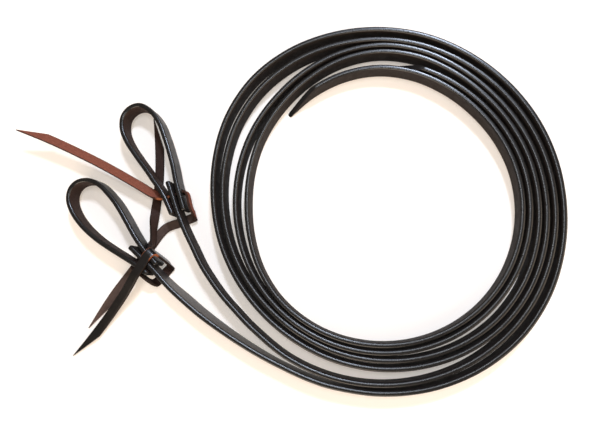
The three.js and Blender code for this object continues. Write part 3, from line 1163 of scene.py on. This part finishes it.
def lace_b_stations() -> list[Station]:
    """Places lace B from the tip of the tail over the tied end, under the rein, through to its floor tip.

    Returns:
        The stations.
    """
    k = KNOT_B
    return [
        *lying(
            DOWN, (-0.164, -0.1257, 0.0012), (-0.1554, -0.1156, 0.0022), (-0.1476, -0.1062, 0.0035),
            (-0.1402, -0.0967, 0.0041), (-0.1315, -0.0859, 0.0066), (-0.1208, -0.073, 0.0114),
            (-0.1134, -0.0639, 0.0162), (-0.1076, -0.0558, 0.0195), (-0.1042, -0.0509, CREST_Z),
            (-0.1017, -0.047, CREST_Z), (-0.0986, -0.0416, CREST_Z),
        ),
        *k.tied(DOWN, (-0.0057, 0.0072, CREST_Z - 0.1 * MM)),
        *k.tied(DOWN - k.across, (-0.0056, 0.0094, 0.0189)),
        *k.tied(
            -k.across, (-0.0066, 0.0102, 0.0162), (-0.01, 0.0101, 0.012), (-0.0144, 0.01, 0.0086),
            (-0.0186, 0.0098, 0.006), (-0.0205, 0.0093, 0.0038),
        ),
        *k.tied(UP - k.across, (-0.0207, 0.0082, 0.0019)),
        *k.tied(UP, (-0.0207, 0.0058, LACE_FLOOR), (-0.0207, 0, LACE_FLOOR), (-0.0207, -0.0064, LACE_FLOOR)),
        *k.tied(UP + k.across, (-0.0207, -0.0092, 0.002)),
        *k.tied(
            k.across, (-0.0204, -0.0102, 0.0044), (-0.0186, -0.0106, 0.0074), (-0.0152, -0.0108, 0.0096),
            (-0.011, -0.011, 0.0104), (-0.0065, -0.0116, SLOT_Z), (-0.0026, -0.012, SLOT_Z),
        ),
        *k.tied(k.across - k.along, (-0.0007, -0.0115, SLOT_Z)),
        *k.tied(
            -k.along, (0, -0.0099, SLOT_Z), (0, -0.005, SLOT_Z), (0, 0, SLOT_Z), (0, 0.005, SLOT_Z),
            (0.0002, 0.009, SLOT_Z),
        ),
        *lying(Vector((0.95, -0.3, 0)), (-0.0997, -0.0322, 0.009)),
        *lying(Vector((1, 0, 0.1)), (-0.0994, -0.026, 0.0074)),
        *lying(Vector((1, 0, 0.2)), (-0.1, -0.019, 0.0064)),
        *lying(Vector((0.8, 0, 0.6)), (-0.1006, -0.0116, 0.0046)),
        *lying(Vector((0.3, 0, 0.95)), (-0.1008, -0.004, 0.0024)),
        *lying(
            UP, (-0.1004, 0.005), (-0.0994, 0.018), (-0.0992, 0.032), (-0.1002, 0.0504), (-0.1018, 0.067),
            (-0.1032, 0.079),
        ),
    ]


@dataclass
class LacePiece:
    """A stretch of a tie lace that is one mesh, between two stations of the lace's route.

    It stands for the nodes that it replaces.
    """

    name: str
    stations: tuple[int, int]
    replaces: tuple[str, ...]
    slot: str
    bends_to: str | None = None
    bend: tuple[Vector, Vector] | None = None


@dataclass
class TieLace:
    """A latigo lace with a long taper cut on one side of each tip, and a gap where two pieces meet."""

    route: LaceRoute
    finish: LeatherFinish
    pieces: tuple[LacePiece, ...]
    cut: Cut = LACE_CUT
    gap: float = 0.15 * MM

    def build(self) -> None:
        last = len(self.route.stations) - 1
        for stretch in self.pieces:
            first, final = stretch.stations
            start = self.route.length_to(first) + (self.gap if first > 0 else 0)
            end = self.route.length_to(final) - (self.gap if final < last else 0)
            blank = Blank(self.cut, end - start)
            if first == 0:
                blank.slant(End.START, -1, TAPER)
            if final == last:
                blank.slant(End.FINISH, 1, TAPER)
            piece = add_piece(stretch.name, blank.lay(self.route, start), self.finish.material())
            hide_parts(*stretch.replaces)
            if stretch.bends_to:
                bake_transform(piece)
            else:
                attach(piece, "coiled_reins")
            line = self.route.line(
                start + (TIP_SPARE if first == 0 else 0), end - (TIP_SPARE if final == last else 0),
                LACE_LINE_STEP,
            )
            log.info("%s: %.3f m of lace, %d faces", piece.name, end - start, len(piece.data.polygons))


def add_piece(name: str, mesh: bpy.types.Mesh, material: bpy.types.Material) -> bpy.types.Object:
    """Puts a finished mesh in the scene.

    Args:
        name: The piece's name.
        mesh: Its mesh, in the frame.
        material: What it is made of.

    Returns:
        The object, at the origin.
    """
    mesh.name = name
    mesh.materials.append(material)
    piece = bpy.data.objects.new(name, mesh)
    bpy.context.scene.collection.objects.link(piece)
    return piece


# ---- Studio -----------------------------------------------------------------------------------------


@dataclass(frozen=True)
class Softbox:
    """A square light that faces a point on the floor."""

    name: str
    place: tuple[float, float, float]
    size: float
    watts: float
    colour: int

    def build(self) -> None:
        """Adds the light, aimed at the middle of the reins."""
        data = bpy.data.lights.new(self.name, "AREA")
        data.shape = "SQUARE"
        data.size = self.size
        data.energy = self.watts
        data.color = linear(self.colour)[:3]
        light = bpy.data.objects.new(self.name, data)
        light.location = self.place
        light.rotation_mode = "QUATERNION"
        light.rotation_quaternion = (-Vector(self.place)).to_track_quat("-Z", "Y")
        bpy.context.scene.collection.objects.link(light)


@dataclass
class Studio:
    """The camera, the pale floor and the soft lights."""

    camera_place: tuple[float, float, float] = (0.072, -0.063, 0.397)
    # The plumb line from the camera, as the camera sees it: right, up and forwards.
    plumb: tuple[float, float, float] = (0.127, -0.1371, -1.0)
    lens: float = 29.76
    sensor: float = 36.0
    clip_start: float = 0.01
    # The floor is matt paper, and its faint glow keeps the shadows pale, as on a lit table.
    floor_size: float = 8.0
    floor_drop: float = 0.05 * MM
    floor_colour: int = 0xDDD6CE
    floor_roughness: float = 0.9
    floor_specular: float = 0.1
    floor_glow_colour: int = 0xFFFAF4
    floor_glow: float = 0.3
    world_colour: int = 0xFFEDD6
    world_strength: float = 0.34
    # The small cool key draws the thin lines along the slicked edges. The wide warm fills lift the faces.
    softboxes: tuple[Softbox, ...] = (
        Softbox("overhead_softbox", (0.08, 0.2, 1.3), 0.3, 5.0, 0xF2F7FF),
        Softbox("key_softbox", (0.36, 0.83, 1.2), 0.18, 19.0, 0xDCE9FF),
        Softbox("front_fill", (-0.55, -2.0, 0.75), 2.0, 60.0, 0xFFEAD4),
        Softbox("right_fill", (1.8, -0.6, 0.8), 2.0, 34.0, 0xFFE8CE),
    )

    def add_camera(self) -> None:
        """Adds the camera, turned so that its plumb line lies where it should."""
        data = bpy.data.cameras.new("camera")
        data.lens = self.lens
        data.sensor_width = self.sensor
        data.clip_start = self.clip_start
        camera = bpy.data.objects.new("camera", data)
        turn = Vector(self.plumb).rotation_difference(DOWN).to_matrix().to_4x4()
        camera.matrix_world = Matrix.Translation(self.camera_place) @ turn
        bpy.context.scene.collection.objects.link(camera)
        bpy.context.scene.camera = camera

    def add_floor(self) -> None:
        """Adds the plain pale floor."""
        bm = bmesh.new()
        place = Matrix.Translation((0, 0, -self.floor_drop))
        bmesh.ops.create_grid(bm, x_segments=1, y_segments=1, size=self.floor_size / 2, matrix=place)
        mesh = bpy.data.meshes.new("floor")
        bm.to_mesh(mesh)
        bm.free()
        paper = bpy.data.materials.new("matt_background_paper")
        paper.use_nodes = True
        shader = paper.node_tree.nodes["Principled BSDF"]
        for socket, value in (
            ("Base Color", linear(self.floor_colour)),
            ("Roughness", self.floor_roughness),
            ("Specular IOR Level", self.floor_specular),
            ("Emission Color", linear(self.floor_glow_colour)),
            ("Emission Strength", self.floor_glow),
        ):
            shader.inputs[socket].default_value = value
        add_piece("floor", mesh, paper)

    def add_lights(self) -> None:
        """Adds the soft boxes and the dim warm room around them."""
        for softbox in self.softboxes:
            softbox.build()
        world = bpy.data.worlds.new("room")
        world.use_nodes = True
        background = world.node_tree.nodes["Background"]
        background.inputs["Color"].default_value = linear(self.world_colour)
        background.inputs["Strength"].default_value = self.world_strength
        bpy.context.scene.world = world
        bpy.context.scene.view_settings.view_transform = "Standard"


def main() -> None:
    """Builds the camera, the reins, the laces, the water loops and the studio, in that order."""
    logging.basicConfig(level=logging.INFO, format="%(name)s %(message)s")
    studio = Studio()
    studio.add_camera()
    Rein("rein_strap_a", LEAD_A, COIL_A, HARNESS).build()
    Rein("rein_strap_b", LEAD_B, COIL_B, HARNESS_POLISHED).build()
    lace_a = LaceRoute(lace_a_stations())
    lace_a_whole = (0, len(lace_a.stations) - 1)
    TieLace(lace_a, LATIGO_BROWN, (
        LacePiece(
            "lace_a_leather", lace_a_whole, ("tie_lace_a", "tie_lace_a_tail"), "lace_brown",
            bends_to="tail_a", bend=TAIL_A_BEND,
        ),
    )).build()
    lace_b = LaceRoute(lace_b_stations())
    lace_b_over = (0, LACE_B_UNDER)
    lace_b_through = (LACE_B_UNDER, len(lace_b.stations) - 1)
    TieLace(lace_b, LATIGO_BLACK, (
        LacePiece(
            "lace_b_over_leather", lace_b_over, ("tie_lace_b_tail",), "lace_black",
            bends_to="tail_b", bend=TAIL_B_BEND,
        ),
        LacePiece("lace_b_through_leather", lace_b_through, ("tie_lace_b",), "lace_brown"),
    )).build()
    WaterLoop("water_loop_a", "loop_a", LOOP_A, LOOP_A_SLOTS, HARNESS_BROWNED).build()
    WaterLoop("water_loop_b", "loop_b", LOOP_B, LOOP_B_SLOTS, HARNESS_BROWNED).build()
    studio.add_floor()
    studio.add_lights()


if __name__ == "__main__":
    main()
